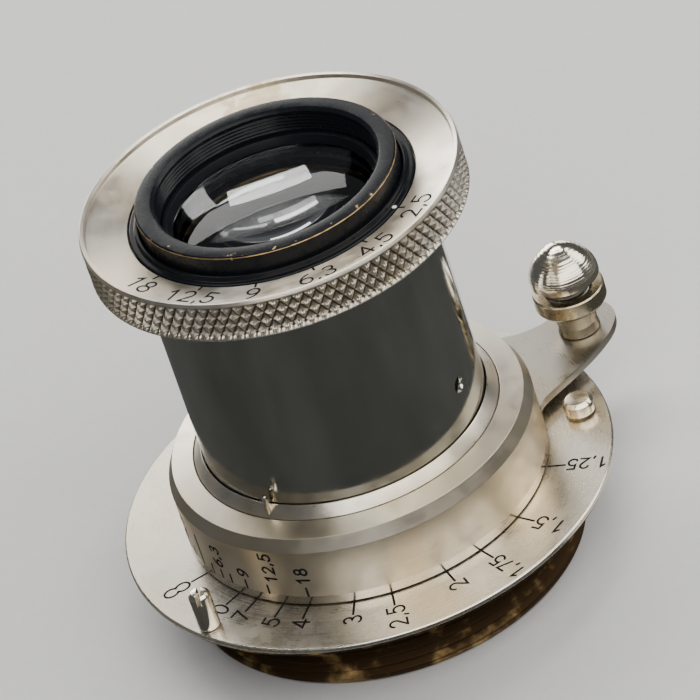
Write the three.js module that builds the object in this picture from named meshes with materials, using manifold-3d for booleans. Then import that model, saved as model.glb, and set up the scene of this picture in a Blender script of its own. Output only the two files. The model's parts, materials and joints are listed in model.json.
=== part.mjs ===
// A nickel-plated collapsible 5 cm lens with a 39 mm screw mount, as an assembly of separate pieces.
// Millimetres, +Z up along the optical axis. The origin is on the axis, in the plane of the seat
// that meets a camera's face, so the screw mount lies below Z = 0 and the front glass looks up +Z.
import * as THREE from 'three';
import { mergeVertices } from 'three/addons/utils/BufferGeometryUtils.js';
import Module from 'manifold-3d';

const wasm = await Module();
wasm.setup();

// ---- Driving dimensions -------------------------------------------------------------------------
const RING_SIDES = 40; // facets round the large rings
const CELL_SIDES = 24; // facets round the glass and its cells
const PIN_SIDES = 12; // facets round screws, pins and the lock's small parts

const FLANGE_R = 24; // distance-scale disc, 48 mm across
const FLANGE_T = 1; // seat to the front of the disc
const SEAT_PLATE_T = 0.45; // the brass plate under the disc
const THREAD_R = 19.5; // 39 mm screw mount
const MOUNT_BORE_R = 17.2;
const REAR_Z = -7.5; // rear rim of the screw mount
const RELIEF_W = 0.6; // groove where the thread runs out below the seat
const RELIEF_STEP = 0.1; // the seat is set back this far where it meets the groove

const SLEEVE_R = 17.05; // focusing thread, outside
const SLEEVE_BORE_R = 14.75;
const SLEEVE_REAR_Z = -4.2;
const COLLAR_R = 17.8;
const COLLAR_TOP_R = 17.16;
const COLLAR_BORE_R = 14.95;

const TUBE_R = 13.8;
const TUBE_BORE_R = 13.1;
const TUBE_REAR_Z = 0.5;
const TUBE_FRONT_Z = 31.4;

const LEVER_Z = 1.8; // underside of the lever plate
const LEVER_T = 0.8;
const LOCK_AXIS = [24.25, 10.9]; // the lock button's own axis, outside the disc's rim
const LOCK_BORE_R = 1.15;

const KNURL_R = 18; // front ring, takes a 36 mm push-on cap
const FRONT_CELL_R = 12.37;

const BLADES = 8;
const BLADE_T = 0.1;
const BLADE_STEP = 0.15; // height from one blade to the next
const BLADE_LOW_Z = 27;
const BLADE_MID_R = 10.6; // middle of the blade's width, and of its pivot
const BLADE_HALF_W = 1.35;
const BLADE_ARC = THREE.MathUtils.degToRad(95);

// ---- Materials ----------------------------------------------------------------------------------
const finish = (color, roughness, metalness) => ({ color, roughness, metalness });
const NICKEL = finish(0xb5aa97, 0.34, 1);
const POLISHED = finish(0x8d8a82, 0.12, 1);
const BRASS = finish(0xb08d4a, 0.35, 1);
const BLACK = finish(0x17181b, 0.3, 0.2);
const DULL_BLACK = finish(0x101010, 0.85, 0);
const STEEL = finish(0x7a7d80, 0.4, 1);
const GLASS = finish(0xdfe6ea, 0.03, 0);

// ---- Helpers ------------------------------------------------------------------------------------
const lens = new THREE.Group();

function add(name, geometry, look, place = new THREE.Object3D()) {
  const mesh = new THREE.Mesh(geometry, new THREE.MeshStandardMaterial(look));
  mesh.name = name;
  mesh.position.copy(place.position);
  lens.add(mesh);
}

// A turned piece about Z. The profile is a list of [radius, z] that runs anticlockwise, with the
// axis on the left, and it is closed here unless it starts and ends on the axis.
function turned(profile, sides) {
  const onAxis = profile[0][0] === 0;
  const loop = onAxis ? profile : [...profile, profile[0]];
  const points = loop.map(([r, z]) => new THREE.Vector2(r, z));
  return new THREE.LatheGeometry(points, sides).rotateX(Math.PI / 2);
}

// A plain washer or tube about Z.
function ring(inner, outer, low, high, sides) {
  return turned([[inner, low], [outer, low], [outer, high], [inner, high]], sides);
}

// A flat plate of the given outline, standing up from z = low.
function plate(shape, low, thickness, curveSegments) {
  const options = { depth: thickness, bevelEnabled: false, curveSegments };
  return new THREE.ExtrudeGeometry(shape, options).translate(0, 0, low);
}

function solid(geometry) {
  const bare = geometry.clone();
  bare.deleteAttribute('normal');
  bare.deleteAttribute('uv');
  const merged = mergeVertices(bare, 1e-4);
  return new wasm.Manifold(new wasm.Mesh({
    numProp: 3,
    vertProperties: new Float32Array(merged.attributes.position.array),
    triVerts: new Uint32Array(merged.index.array),
  }));
}

function cut(geometry, ...cutters) {
  const left = cutters.reduce((body, cutter) => body.subtract(solid(cutter)), solid(geometry));
  const mesh = left.getMesh();
  const result = new THREE.BufferGeometry();
  result.setAttribute('position', new THREE.BufferAttribute(mesh.vertProperties, 3));
  result.setIndex(new THREE.BufferAttribute(mesh.triVerts, 1));
  result.computeVertexNormals();
  return result;
}

const at = (x, y, z = 0) => {
  const place = new THREE.Object3D();
  place.position.set(x, y, z);
  return place;
};
const polar = (radius, degrees, z = 0) => {
  const angle = THREE.MathUtils.degToRad(degrees);
  return at(radius * Math.cos(angle), radius * Math.sin(angle), z);
};

// ---- Mount: screw mount, scale disc, stops and screws -------------------------------------------
const SCREW_CIRCLE_R = 21.7;
const SCREW_AZIMUTHS = [45, 135, 225, 315];
const SCREW_R = 0.6;
const SCREW_HEAD_R = 1.1;
const SCREW_HEAD_T = 0.35;
const SCREW_TOP_Z = 0.85;
const SCREW_CLEARANCE = 0.1;

function mountScrew(extra) {
  return turned([
    [0, 0.02 - extra],
    [SCREW_HEAD_R + extra, 0.02 - extra],
    [SCREW_R + extra, SCREW_HEAD_T],
    [SCREW_R + extra, SCREW_TOP_Z + extra],
    [0, SCREW_TOP_Z + extra],
  ], PIN_SIDES);
}

function mountParts() {
  const holes = SCREW_AZIMUTHS.map((azimuth) => {
    const { x, y } = polar(SCREW_CIRCLE_R, azimuth).position;
    return mountScrew(SCREW_CLEARANCE).translate(x, y, 0);
  });
  const base = turned([
    [MOUNT_BORE_R, REAR_Z + 0.3],
    [MOUNT_BORE_R + 0.3, REAR_Z],
    [THREAD_R - 0.5, REAR_Z],
    [THREAD_R, REAR_Z + 0.5],
    [THREAD_R, -RELIEF_W],
    [THREAD_R - RELIEF_W, -RELIEF_W],
    [THREAD_R - RELIEF_W, RELIEF_STEP],
    [THREAD_R + RELIEF_STEP, RELIEF_STEP],
    [THREAD_R + RELIEF_STEP, 0],
    [FLANGE_R - 0.3, 0],
    [FLANGE_R - 0.3, SEAT_PLATE_T],
    [MOUNT_BORE_R, SEAT_PLATE_T],
  ], RING_SIDES);
  add('screw_mount', cut(base, ...holes), BRASS);

  const disc = turned([
    [MOUNT_BORE_R, SEAT_PLATE_T + 0.05],
    [FLANGE_R, SEAT_PLATE_T + 0.05],
    [FLANGE_R, FLANGE_T - 0.12],
    [FLANGE_R - 0.15, FLANGE_T],
    [MOUNT_BORE_R, FLANGE_T],
  ], RING_SIDES);
  add('scale_disc', cut(disc, ...holes), NICKEL);

  SCREW_AZIMUTHS.forEach((azimuth, i) => {
    add(`mount_screw_${i + 1}`, mountScrew(0), STEEL, polar(SCREW_CIRCLE_R, azimuth));
  });

  const POST_R = 1.5;
  const POST_TOP_Z = 2.6;
  const post = turned([
    [0, FLANGE_T + 0.05],
    [POST_R, FLANGE_T + 0.05],
    [POST_R, POST_TOP_Z - 0.35],
    [POST_R - 0.35, POST_TOP_Z],
    [0, POST_TOP_Z],
  ], PIN_SIDES);
  add('infinity_post', post, NICKEL, at(21.4, -0.1));

  // The near stop stands as high as the lever has climbed at its closest focus. It screws into the
  // disc, and a screwdriver slot crosses its top.
  const STOP_R = 1.05;
  const STOP_TOP_Z = 5.2;
  const SLOT_W = 0.45;
  const SLOT_DEPTH = 1;
  const stop = turned([
    [0, FLANGE_T + 0.05],
    [STOP_R, FLANGE_T + 0.05],
    [STOP_R, STOP_TOP_Z - 0.3],
    [STOP_R - 0.35, STOP_TOP_Z],
    [0, STOP_TOP_Z],
  ], PIN_SIDES);
  const slot = new THREE.BoxGeometry(3 * STOP_R, SLOT_W, 2 * SLOT_DEPTH)
    .rotateZ(THREE.MathUtils.degToRad(-102))
    .translate(0, 0, STOP_TOP_Z);
  add('near_stop', cut(stop, slot), NICKEL, polar(22.6, -142.9));
}

// ---- Rangefinder ring: follows the focusing thread in and out -----------------------------------
function rangefinderRing() {
  add('rangefinder_ring', turned([
    [15.7, REAR_Z + 0.3],
    [16.9, REAR_Z + 0.3],
    [16.9, SLEEVE_REAR_Z - 0.2],
    [15.4, SLEEVE_REAR_Z - 0.2],
    [15.4, SLEEVE_REAR_Z - 0.8],
    [15.7, SLEEVE_REAR_Z - 1.2],
  ], RING_SIDES), BRASS);
}

// ---- Focusing barrel: threaded sleeve, collar, guide ring and lever ------------------------------
const GUIDE_R = 14.85;
const GUIDE_BORE_R = 13.92;
const PIN_AZIMUTH = -131;
const PIN_CIRCLE_R = 14.38;
const PIN_R = 0.3;

function leverOutline() {
  const root = COLLAR_R + 0.1;
  const rootStart = THREE.MathUtils.degToRad(2);
  const rootEnd = THREE.MathUtils.degToRad(42.5);
  const outline = new THREE.Shape();
  outline.moveTo(root * Math.cos(rootStart), root * Math.sin(rootStart));
  const edge = [
    [18.85, 1.8], [22.85, 4.75], [25.4, 7.0], [27.3, 9.4], [28.0, 11.9], [27.1, 14.2],
    [25.0, 15.0], [22.8, 14.3], [20.8, 13.4], [18.6, 13.1], [16.6, 13.3],
    [root * Math.cos(rootEnd), root * Math.sin(rootEnd)],
  ];
  outline.splineThru(edge.map(([x, y]) => new THREE.Vector2(x, y)));
  outline.absarc(0, 0, root, rootEnd, rootStart, true);
  const hole = new THREE.Path();
  hole.absarc(LOCK_AXIS[0], LOCK_AXIS[1], LOCK_BORE_R, 0, 2 * Math.PI, true);
  outline.holes.push(hole);
  return outline;
}

function focusingBarrel() {
  add('focus_sleeve', ring(SLEEVE_BORE_R, SLEEVE_R, SLEEVE_REAR_Z, 3, RING_SIDES), BRASS);

  add('focus_collar', turned([
    [SLEEVE_R + 0.1, FLANGE_T + 0.15],
    [COLLAR_R, FLANGE_T + 0.15],
    [COLLAR_R, 7.24],
    [COLLAR_TOP_R, 8.47],
    [COLLAR_BORE_R, 8.84],
    [COLLAR_BORE_R, 3.1],
    [SLEEVE_R + 0.1, 3.1],
  ], RING_SIDES), NICKEL);

  const guide = turned([
    [GUIDE_BORE_R, 5],
    [GUIDE_R, 5],
    [GUIDE_R, 8.84],
    [GUIDE_BORE_R, 9.96],
  ], RING_SIDES);
  const { x, y } = polar(PIN_CIRCLE_R, PIN_AZIMUTH).position;
  const pinHole = turned([[0, 8.2], [PIN_R + 0.08, 8.2], [PIN_R + 0.08, 12], [0, 12]], PIN_SIDES);
  add('guide_ring', cut(guide, pinHole.translate(x, y, 0)), NICKEL);

  const pin = turned([
    [0, 8.3],
    [PIN_R, 8.3],
    [PIN_R, 10.8],
    [PIN_R * 0.6, 11.05],
    [0, 11.1],
  ], PIN_SIDES);
  add('guide_pin', pin, NICKEL, at(x, y));

  add('focus_lever', plate(leverOutline(), LEVER_Z, LEVER_T, 4), NICKEL);
}

// ---- Lever lock: a sprung button in a small turret on the lever ----------------------------------
const KNOB_R = 3.42;
const KNOB_LOW_Z = 8.65;
const TURRET_R = 3.55;
const TURRET_TOP_Z = 7.6;
const CHAMBER_R = 2.45;
const CHAMBER_Z = 6;

function leverLock() {
  const place = at(LOCK_AXIS[0], LOCK_AXIS[1]);
  const foot = LEVER_Z + LEVER_T + 0.05;
  add('lock_turret', turned([
    [LOCK_BORE_R, foot],
    [2.1, foot],
    [1.95, 3.6],
    [2.3, 5.2],
    [3.3, 5.75],
    [TURRET_R, 6.1],
    [TURRET_R, TURRET_TOP_Z - 0.15],
    [TURRET_R - 0.15, TURRET_TOP_Z],
    [CHAMBER_R, TURRET_TOP_Z],
    [CHAMBER_R, CHAMBER_Z],
    [LOCK_BORE_R, CHAMBER_Z],
  ], 18), NICKEL, place);

  add('lock_spring', ring(1.35, 2.15, CHAMBER_Z + 0.05, KNOB_LOW_Z - 0.05, PIN_SIDES), STEEL, place);

  const PLUNGER_R = 0.95;
  const FOOT_R = 1.5;
  add('lock_plunger', turned([
    [0, 0.45],
    [FOOT_R, 0.45],
    [FOOT_R, LEVER_Z - 0.1],
    [PLUNGER_R, LEVER_Z - 0.1],
    [PLUNGER_R, KNOB_LOW_Z - 0.05],
    [0, KNOB_LOW_Z - 0.05],
  ], PIN_SIDES), STEEL, place);

  const profile = [
    [0, KNOB_LOW_Z],
    [KNOB_R, KNOB_LOW_Z],
    [KNOB_R, 9.35],
    [3.28, 9.95],
    [2.93, 10.65],
    [2.38, 11.35],
    [1.62, 12.02],
    [0.78, 12.52],
    [0, 12.68],
  ];
  add('lock_button', turned(profile, 18), NICKEL, place);
}

// ---- Spring ring at the tube's tail: its grip holds the tube out ----------------------------------
function tubeSpringRing() {
  const inner = TUBE_R + 0.08;
  const outer = SLEEVE_BORE_R - 0.12;
  const gap = THREE.MathUtils.degToRad(4);
  const shape = new THREE.Shape();
  shape.absarc(0, 0, outer, gap, 2 * Math.PI - gap, false);
  shape.absarc(0, 0, inner, 2 * Math.PI - gap, gap, true);
  add('tube_spring_ring', plate(shape, 1.4, 3.2, 16), BRASS);
}

// ---- Lens head: tube, front ring, cells and glass ------------------------------------------------
function tube() {
  const HOLE_R = 0.7;
  const drill = new THREE.CylinderGeometry(HOLE_R, HOLE_R, 4, PIN_SIDES);
  const hole = polar(TUBE_R - 0.3, -38, 14.3);
  drill.rotateZ(Math.PI / 2).rotateZ(THREE.MathUtils.degToRad(-38));
  drill.translate(hole.position.x, hole.position.y, hole.position.z);
  const wall = ring(TUBE_BORE_R, TUBE_R, TUBE_REAR_Z, TUBE_FRONT_Z, RING_SIDES);
  add('lens_tube', cut(wall, drill), POLISHED);
}

function frontRing() {
  add('front_ring', turned([
    [12.6, TUBE_FRONT_Z + 0.1],
    [TUBE_R, TUBE_FRONT_Z + 0.1],
    [TUBE_R, 32.18],
    [KNURL_R, 32.18],
    [KNURL_R, 35.9],
    [17.85, 36.21],
    [17.5, 36.1],
    [17.4, 35.72],
    [13.66, 34.96],
    [13.66, 33.6],
    [12.6, 33.6],
  ], RING_SIDES), NICKEL);
}

function frontCell() {
  add('front_cell', turned([
    [9.3, 28.9],
    [FRONT_CELL_R, 28.9],
    [FRONT_CELL_R, 37.09],
    [12.2, 37.23],
    [10.85, 37.23],
    [10.5, 36.9],
    [10.5, 29.6],
    [9.3, 29.6],
  ], RING_SIDES), BLACK);
  add('front_retainer', turned([
    [9.55, 33.85],
    [10.4, 33.85],
    [10.4, 34.7],
    [9.95, 34.7],
  ], CELL_SIDES), BLACK);
}

// Height of a spherical surface above its vertex, at radius r. A negative curve bends down.
const sag = (curve, r) => curve - Math.sign(curve) * Math.sqrt(curve * curve - r * r);
const SURFACE_STEPS = 3;

// One lens element: lower and upper surfaces as [vertex z, radius of curvature or 0 if flat].
function element(name, radius, lower, upper) {
  const surface = ([z, curve], r) => z + (curve === 0 ? 0 : sag(curve, r));
  const profile = [];
  for (let i = 0; i <= SURFACE_STEPS; i += 1) {
    const r = (radius * i) / SURFACE_STEPS;
    profile.push([r, surface(lower, r)]);
  }
  for (let i = SURFACE_STEPS; i >= 0; i -= 1) {
    const r = (radius * i) / SURFACE_STEPS;
    profile.push([r, surface(upper, r)]);
  }
  add(name, turned(profile, CELL_SIDES), GLASS);
}

const CEMENT = 0.05; // gap between two cemented elements

function opticalGroups() {
  element('front_flint', 10.2, [29.7, 0], [30.6 - CEMENT, 40]);
  element('front_crown', 10.2, [30.6, 40], [34.47, -48]);

  element('middle_rear_element', 9.2, [22.7, -60], [23.8 - CEMENT, -32]);
  element('middle_front_element', 9.2, [23.8, -32], [24.4, 34]);
  add('middle_cell', turned([
    [8.3, 21.1],
    [13, 21.1],
    [13, 26.5],
    [9.4, 26.5],
    [9.4, 21.8],
    [8.3, 21.8],
  ], CELL_SIDES), DULL_BLACK);
  add('middle_retainer', ring(8.4, 9.3, 25.8, 26.4, CELL_SIDES), DULL_BLACK);

  element('rear_rear_element', 9, [15.2, 30], [17.6 - CEMENT, 24]);
  element('rear_front_element', 9, [17.6, 24], [20.4, -60]);
  add('rear_cell', turned([
    [9.2, 13.4],
    [13, 13.4],
    [13, 20.9],
    [8.3, 20.9],
    [8.3, 20.3],
    [9.2, 20.3],
  ], CELL_SIDES), DULL_BLACK);
  add('rear_retainer', ring(8.1, 9.1, 13.7, 14.9, CELL_SIDES), DULL_BLACK);
}

// ---- Iris ------------------------------------------------------------------------------------------
function iris() {
  add('iris_housing', turned([
    [9.4, 26.6],
    [13, 26.6],
    [13, 28.8],
    [12.3, 28.8],
    [12.3, 26.85],
    [9.4, 26.85],
  ], CELL_SIDES), DULL_BLACK);
  add('iris_drive_ring', ring(9.4, 12, 28.35, 28.7, CELL_SIDES), BRASS);

  for (let k = 0; k < BLADES; k += 1) {
    const start = (2 * Math.PI * k) / BLADES;
    const end = start + BLADE_ARC;
    const tip = new THREE.Vector2(Math.cos(end), Math.sin(end)).multiplyScalar(BLADE_MID_R);
    const root = new THREE.Vector2(Math.cos(start), Math.sin(start)).multiplyScalar(BLADE_MID_R);
    const blade = new THREE.Shape();
    blade.absarc(0, 0, BLADE_MID_R + BLADE_HALF_W, start, end, false);
    blade.absarc(tip.x, tip.y, BLADE_HALF_W, end, end + Math.PI, false);
    blade.absarc(0, 0, BLADE_MID_R - BLADE_HALF_W, end, start, true);
    blade.absarc(root.x, root.y, BLADE_HALF_W, start + Math.PI, start + 2 * Math.PI, false);
    add(`iris_blade_${k + 1}`, plate(blade, BLADE_LOW_Z + k * BLADE_STEP, BLADE_T, 7), STEEL);
  }
}

// ---- Aperture ring: a black ring round the front cell --------------------------------------------
function apertureRing() {
  add('aperture_ring', turned([
    [12.52, 33.75],
    [13.5, 33.75],
    [13.5, 35],
    [12.95, 35],
    [12.88, 35.45],
    [12.52, 35.45],
  ], RING_SIDES), BLACK);
}

mountParts();
rangefinderRing();
focusingBarrel();
leverLock();
tubeSpringRing();
tube();
frontRing();
frontCell();
opticalGroups();
iris();
apertureRing();

export default lens;
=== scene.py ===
"""Looks for a nickel-plated collapsible camera lens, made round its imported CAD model.

The frame is in metres with +Z along the optical axis and the flange's rear seat at Z = 0.
Lengths in this script are millimetres, and MM turns them into metres where a mesh is made.
Azimuths are degrees from +X towards +Y. The camera stands at azimuth -90.
"""

import json
import math
from itertools import takewhile

import bmesh
import bpy
from mathutils import Matrix, Vector


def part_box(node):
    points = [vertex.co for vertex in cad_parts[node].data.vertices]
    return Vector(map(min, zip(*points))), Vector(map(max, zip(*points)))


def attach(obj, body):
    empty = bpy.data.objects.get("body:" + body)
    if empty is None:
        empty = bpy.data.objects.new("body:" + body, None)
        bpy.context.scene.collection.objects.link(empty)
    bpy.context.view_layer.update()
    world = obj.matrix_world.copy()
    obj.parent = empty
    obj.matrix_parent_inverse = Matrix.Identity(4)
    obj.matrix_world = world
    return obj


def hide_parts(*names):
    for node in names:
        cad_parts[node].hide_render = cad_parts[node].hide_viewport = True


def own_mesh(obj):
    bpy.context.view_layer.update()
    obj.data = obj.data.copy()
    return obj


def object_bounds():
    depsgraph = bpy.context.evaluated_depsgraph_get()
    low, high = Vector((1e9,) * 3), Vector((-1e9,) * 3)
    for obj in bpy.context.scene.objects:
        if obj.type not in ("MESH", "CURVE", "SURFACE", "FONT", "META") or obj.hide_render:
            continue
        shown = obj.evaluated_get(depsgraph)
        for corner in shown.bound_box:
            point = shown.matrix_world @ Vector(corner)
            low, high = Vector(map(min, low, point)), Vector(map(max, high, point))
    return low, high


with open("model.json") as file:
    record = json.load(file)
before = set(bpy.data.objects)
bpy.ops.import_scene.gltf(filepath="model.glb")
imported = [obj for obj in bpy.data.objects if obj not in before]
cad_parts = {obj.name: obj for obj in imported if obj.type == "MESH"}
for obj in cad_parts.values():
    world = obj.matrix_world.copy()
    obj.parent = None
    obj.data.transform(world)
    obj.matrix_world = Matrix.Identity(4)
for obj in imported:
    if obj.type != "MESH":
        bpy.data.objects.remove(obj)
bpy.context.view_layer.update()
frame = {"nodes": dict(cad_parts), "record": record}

MM = 0.001
RING_COLUMNS = 256  # steps round the large rings
GLASS_COLUMNS = 128
GLASS_RINGS = 16
SMALL_COLUMNS = 72
CORNER_STEP = math.radians(22)  # the most that one step of a rounded corner turns
SMOOTH_ANGLE = math.radians(35)
SLICE_AT = -89.95  # azimuth just past a row of vertices of every turned node
ON_AXIS = 1e-3  # a radius below this is on the axis
WALL_SLACK = 0.02  # a radius this close to a wall's is on the wall

NODES = frame["nodes"]
BODY_OF = {
    node: body
    for body, members in frame["record"]["behaviour"]["bodies"].items()
    for node in members
}


# ---- Reading the frame ----


def box_mm(node):
    """Lowest and highest corner of a CAD node, in millimetres."""
    low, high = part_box(node)
    return low / MM, high / MM


def axis_of(node):
    """Where a turned CAD node's own axis stands, in millimetres."""
    low, high = box_mm(node)
    return (low.x + high.x) / 2, (low.y + high.y) / 2


def direction(azimuth, elevation=0.0):
    """Unit vector that points out at an azimuth and an elevation."""
    a, e = math.radians(azimuth), math.radians(elevation)
    return Vector((math.cos(a) * math.cos(e), math.sin(a) * math.cos(e), math.sin(e)))


def placed(spot, outward):
    """Matrix that stands a thing at spot, in millimetres, with its own Z along outward."""
    return Matrix.Translation(spot * MM) @ outward.to_track_quat("Z", "Y").to_matrix().to_4x4()


def mesh_of(node):
    """A CAD node's mesh to work on, its doubled vertices joined."""
    mesh = bmesh.new()
    mesh.from_mesh(NODES[node].data)
    bmesh.ops.remove_doubles(mesh, verts=mesh.verts, dist=1e-7)
    return mesh


def linked(edges):
    """The vertices that each vertex of the edges leads to."""
    links = {}
    for edge in edges:
        for here, there in (edge.verts, reversed(edge.verts)):
            links.setdefault(here, []).append(there)
    return links


def walk(links, start):
    """Follows links from start until they close or end, and returns the vertices in order."""
    path, last = [start], None
    while True:
        onward = [v for v in links[path[-1]] if v is not last and v is not path[-1]]
        if not onward or onward[0] is start:
            return path
        last = path[-1]
        path.append(onward[0])
        if len(path) > len(links):
            return path


def without_straight_points(profile):
    """The closed profile without the points that lie on a straight line between two others."""
    kept = []
    for i, point in enumerate(profile):
        before, after = Vector(profile[i - 1]), Vector(profile[(i + 1) % len(profile)])
        here = Vector(point)
        if (here - before).length < 1e-4:
            continue
        if abs((here - before).normalized().cross((after - here).normalized())) > 0.01:
            kept.append(point)
    return kept


def section(node):
    """Outline of a turned CAD node beside its own axis, as (radius, height) pairs in
    millimetres. It is closed, or runs from the axis to the axis for a node without a bore."""
    axis = Vector((*axis_of(node), 0.0)) * MM
    outward = direction(SLICE_AT)
    sliced = mesh_of(node)
    cut = bmesh.ops.bisect_plane(
        sliced,
        geom=sliced.verts[:] + sliced.edges[:] + sliced.faces[:],
        dist=1e-9,
        plane_co=axis,
        plane_no=Vector((-outward.y, outward.x, 0.0)),
    )
    links = linked(e for e in cut["geom_cut"] if isinstance(e, bmesh.types.BMEdge))
    flat = {v: ((v.co - axis).dot(outward) / MM, v.co.z / MM) for v in links}
    loop = [flat[v] for v in walk(links, max(links, key=lambda v: flat[v][0]))]
    sliced.free()
    loop = without_straight_points(loop)
    if min(r for r, _ in loop) > -ON_AXIS:
        return loop
    first = next(i for i, (r, _) in enumerate(loop) if r > ON_AXIS >= loop[i - 1][0])
    half = list(takewhile(lambda point: point[0] > ON_AXIS, loop[first:] + loop[:first]))
    poles = [z for r, z in loop if abs(r) < ON_AXIS]

    def pole(beside):
        return 0.0, min(poles, key=lambda z: abs(z - beside), default=beside)

    return [pole(half[0][1]), *half, pole(half[-1][1])]


# ---- Meshes ----


def arc(centre, radius, start, end, steps):
    """Points of an arc or of an ellipse's arc, from start to end degrees."""
    rx, ry = radius if isinstance(radius, tuple) else (radius, radius)
    angles = [math.radians(start + (end - start) * i / steps) for i in range(steps + 1)]
    return [(centre[0] + rx * math.cos(a), centre[1] + ry * math.sin(a)) for a in angles]


def rounded(profile, radius):
    """The profile with each corner turned into a small arc, the ends on the axis left alone."""
    points = [Vector(p) for p in profile]
    open_ended = profile[0][0] < ON_AXIS
    result = []
    for i, here in enumerate(points):
        if open_ended and i in (0, len(points) - 1):
            result.append(tuple(here))
            continue
        before = points[i - 1] - here
        after = points[(i + 1) % len(points)] - here
        turn = math.pi - before.angle(after)
        reach = radius * math.tan(turn / 2)
        reach = min(reach, 0.42 * before.length, 0.42 * after.length)
        if turn < math.radians(8) or reach < 1e-3:
            result.append(tuple(here))
            continue
        start = here + before.normalized() * reach
        end = here + after.normalized() * reach
        steps = max(2, math.ceil(turn / CORNER_STEP))
        for k in range(steps + 1):
            t = k / steps
            result.append(tuple((1 - t) ** 2 * start + 2 * t * (1 - t) * here + t * t * end))
    return result


def in_scene(name, data):
    """A new object in the scene."""
    obj = bpy.data.objects.new(name, data)
    bpy.context.scene.collection.objects.link(obj)
    return obj


def make_object(name, vertices, faces):
    """A smooth-shaded object from vertices in millimetres, with crisp corners."""
    mesh = bpy.data.meshes.new(name)
    mesh.from_pydata([Vector(v) * MM for v in vertices], [], faces)
    return tidied(in_scene(name, mesh))


def tidied(obj):
    """Points the object's faces outwards and shades it smooth round its corners."""
    whole = bmesh.new()
    whole.from_mesh(obj.data)
    bmesh.ops.remove_doubles(whole, verts=whole.verts, dist=1e-8)
    bmesh.ops.recalc_face_normals(whole, faces=whole.faces)
    whole.to_mesh(obj.data)
    whole.free()
    obj.data.shade_smooth()
    obj.data.set_sharp_from_angle(angle=SMOOTH_ANGLE)
    weighted = obj.modifiers.new("weighted", "WEIGHTED_NORMAL")
    weighted.weight = 100
    weighted.keep_sharp = True
    return obj


def about(r, angle, z, axis=(0.0, 0.0)):
    """The point at radius r and an angle in radians about a line parallel to Z."""
    return axis[0] + r * math.cos(angle), axis[1] + r * math.sin(angle), z


def skin(rows, closed):
    """Faces between rows of vertices that run round, a pole's row being one vertex repeated.
    The last row meets the first if closed."""
    faces = []
    for low, high in zip(rows, rows[1:] + rows[:1] if closed else rows[1:]):
        for k in range(len(low)):
            n = (k + 1) % len(low)
            corners = [low[k], low[n], high[n], high[k]]
            faces.append([v for j, v in enumerate(corners) if v != corners[j - 1]])
    return faces


def turned(name, profile, columns=RING_COLUMNS, axis=(0.0, 0.0)):
    """A turned solid from its (radius, height) profile, about a line parallel to Z."""
    vertices, rows = [], []
    for r, z in profile:
        if r < ON_AXIS:
            rows.append([len(vertices)] * columns)
            vertices.append((axis[0], axis[1], z))
            continue
        rows.append(range(len(vertices), len(vertices) + columns))
        vertices += [about(r, 2 * math.pi * k / columns, z, axis) for k in range(columns)]
    return make_object(name, vertices, skin(rows, closed=profile[0][0] > ON_AXIS))


def relief(name, profile, wall_r, band, rows, columns, offset):
    """A turned solid whose wall at wall_r carries a pattern between the two heights of band.
    offset(around, z) is added to the wall's radius, where around goes from 0 to 1."""
    low, high = band
    for i, (r, z) in enumerate(profile):
        next_r, next_z = profile[(i + 1) % len(profile)]
        on_wall = max(abs(r - wall_r), abs(next_r - wall_r)) < WALL_SLACK
        if on_wall and min(z, next_z) <= low and max(z, next_z) >= high:
            break
    heights = [low + (high - low) * k / rows for k in range(rows + 1)]
    if next_z < z:
        heights.reverse()
    outline = profile[: i + 1] + [(wall_r, h) for h in heights] + profile[i + 1 :]
    patterned = range(i + 2, i + 1 + rows)
    vertices = []
    for j, (r, z) in enumerate(outline):
        for k in range(columns):
            there = r + offset(k / columns, z) if j in patterned else r
            vertices.append(about(there, 2 * math.pi * k / columns, z))
    faces = []
    for quad in skin([range(j * columns, (j + 1) * columns) for j in range(len(outline))], True):
        if not any(v // columns in patterned for v in quad):
            faces.append(quad)
            continue
        # split along the valley, so that both halves are flat
        reach = [math.hypot(*vertices[v][:2]) for v in quad]
        shift = 0 if reach[0] + reach[2] < reach[1] + reach[3] else 1
        first, second, third, fourth = quad[shift:] + quad[:shift]
        faces += [[first, second, third], [first, third, fourth]]
    return make_object(name, vertices, faces)


def level(z):
    """The place() of slab for a flat layer at height z."""
    return lambda x, y, height: (x, y, z + height)


def slab(name, points, faces, place, lift, sink):
    """A thin closed layer. Flat points and faces are put on a surface by place(x, y, height),
    its top lift millimetres above the surface and its underside sink millimetres below."""
    count = len(points)
    vertices = [place(x, y, lift) for x, y in points] + [place(x, y, -sink) for x, y in points]
    edges = {}
    for face in faces:
        for a, b in zip(face, face[1:] + face[:1]):
            edges[(a, b)] = (b, a)
    sides = [
        [a, b, b + count, a + count] for (a, b), back in edges.items() if back not in edges
    ]
    under = [[v + count for v in reversed(face)] for face in faces]
    return make_object(name, vertices, faces + sides + under)


def baked(obj):
    """Applies the object's modifiers to its mesh."""
    bpy.context.view_layer.update()
    shape = obj.evaluated_get(bpy.context.evaluated_depsgraph_get())
    mesh = bpy.data.meshes.new_from_object(shape)
    obj.modifiers.clear()
    obj.data = mesh
    return tidied(obj)


def carve(obj, *cutters):
    """Cuts the cutters out of the object and removes them."""
    obj.modifiers.clear()
    for cutter in cutters:
        cutter.modifiers.clear()
        boolean = obj.modifiers.new("cut", "BOOLEAN")
        boolean.object = cutter
        boolean.solver = "EXACT"
    result = baked(obj)
    for cutter in cutters:
        bpy.data.objects.remove(cutter)
    return result


def bevelled(obj, width, segments=3):
    """Rounds the object's sharp edges by width millimetres."""
    bevel = obj.modifiers.new("bevel", "BEVEL")
    bevel.width = width * MM
    bevel.segments = segments
    bevel.limit_method = "ANGLE"
    bevel.angle_limit = math.radians(40)
    obj.modifiers.move(len(obj.modifiers) - 1, 0)
    return baked(obj)


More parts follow.
